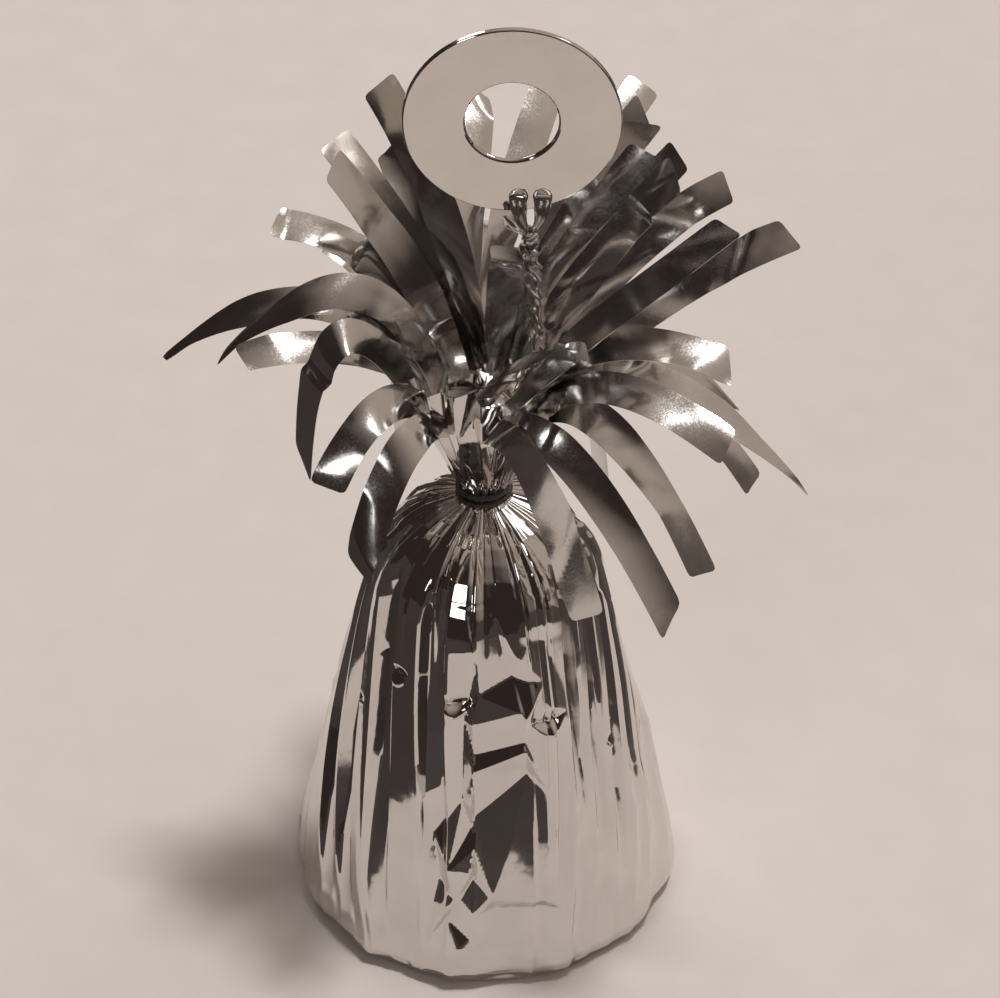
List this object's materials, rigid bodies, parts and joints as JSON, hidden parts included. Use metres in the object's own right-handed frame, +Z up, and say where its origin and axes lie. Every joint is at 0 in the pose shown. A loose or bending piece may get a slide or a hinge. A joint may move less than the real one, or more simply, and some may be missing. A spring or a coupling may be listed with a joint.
{
  "type": "balloon weight",
  "caption": "Foil-wrapped bell-shaped balloon weight with a tied neck, a cut film fringe and a flat ribbon ring on a twisted tether that leans, turns and swings.",
  "frame": {"origin": "centre of the flat base, on the surface it stands on", "axes": "+Z up through the neck, -Y towards the front of the ring, +X to the right seen from the front"},
  "size_m": [0.0857, 0.0642, 0.1422],
  "materials": {
    "wrap_film": "metallised mirror film, creased",
    "fringe_film": "metallised mirror film, finely scratched",
    "tie_thread": "dark twisted thread",
    "tether_film": "twisted metallised film",
    "ring_mirror": "mirror-metallised plastic, lightly scratched",
    "cup_plastic": "plain moulded",
    "set_filling": "set filling"
  },
  "bodies": {
    "base": {"ballast_fill": "set_filling", "base_plug": "cup_plastic", "foil_wrap": "wrap_film", "fringe_strip_01": "fringe_film", "fringe_strip_02": "fringe_film", "fringe_strip_03": "fringe_film", "fringe_strip_04": "fringe_film", "fringe_strip_05": "fringe_film", "fringe_strip_06": "fringe_film", "fringe_strip_07": "fringe_film", "fringe_strip_08": "fringe_film", "fringe_strip_09": "fringe_film", "fringe_strip_10": "fringe_film", "fringe_strip_11": "fringe_film", "fringe_strip_12": "fringe_film", "fringe_strip_13": "fringe_film", "fringe_strip_14": "fringe_film", "fringe_strip_15": "fringe_film", "fringe_strip_16": "fringe_film", "fringe_strip_17": "fringe_film", "fringe_strip_18": "fringe_film", "fringe_strip_19": "fringe_film", "fringe_strip_20": "fringe_film", "fringe_strip_21": "fringe_film", "fringe_strip_22": "fringe_film", "fringe_strip_23": "fringe_film", "fringe_strip_24": "fringe_film", "fringe_strip_25": "fringe_film", "fringe_strip_26": "fringe_film", "fringe_strip_27": "fringe_film", "fringe_strip_28": "fringe_film", "fringe_strip_29": "fringe_film", "fringe_strip_30": "fringe_film", "fringe_strip_31": "fringe_film", "fringe_strip_32": "fringe_film", "fringe_strip_33": "fringe_film", "fringe_strip_34": "fringe_film", "fringe_strip_35": "fringe_film", "fringe_strip_36": "fringe_film", "fringe_strip_37": "fringe_film", "fringe_strip_38": "fringe_film", "fringe_strip_39": "fringe_film", "gathered_collar": "wrap_film", "neck_tie": "tie_thread", "weight_shell": "cup_plastic"},
    "tether": {"tether_stalk": "tether_film"},
    "loop": {"tether_loop": "tether_film"},
    "ring": {"hang_ring": "ring_mirror"}
  },
  "joints": [
    {"name": "tether_lean", "type": "hinge", "parent": "base", "child": "tether", "pos_m": [0.005, -0.0008, 0.0858], "axis": [1, 0, 0], "range_deg": [-6, 10]},
    {"name": "loop_turn", "type": "hinge", "parent": "tether", "child": "loop", "pos_m": [0.00595, -0.0016, 0.1102], "axis": [0, 0, 1], "range_deg": [-90, 90]},
    {"name": "ring_swing", "type": "hinge", "parent": "loop", "child": "ring", "pos_m": [0.00595, -0.001, 0.1175], "axis": [1, 0, 0], "range_deg": [-18, 37]}
  ]
}
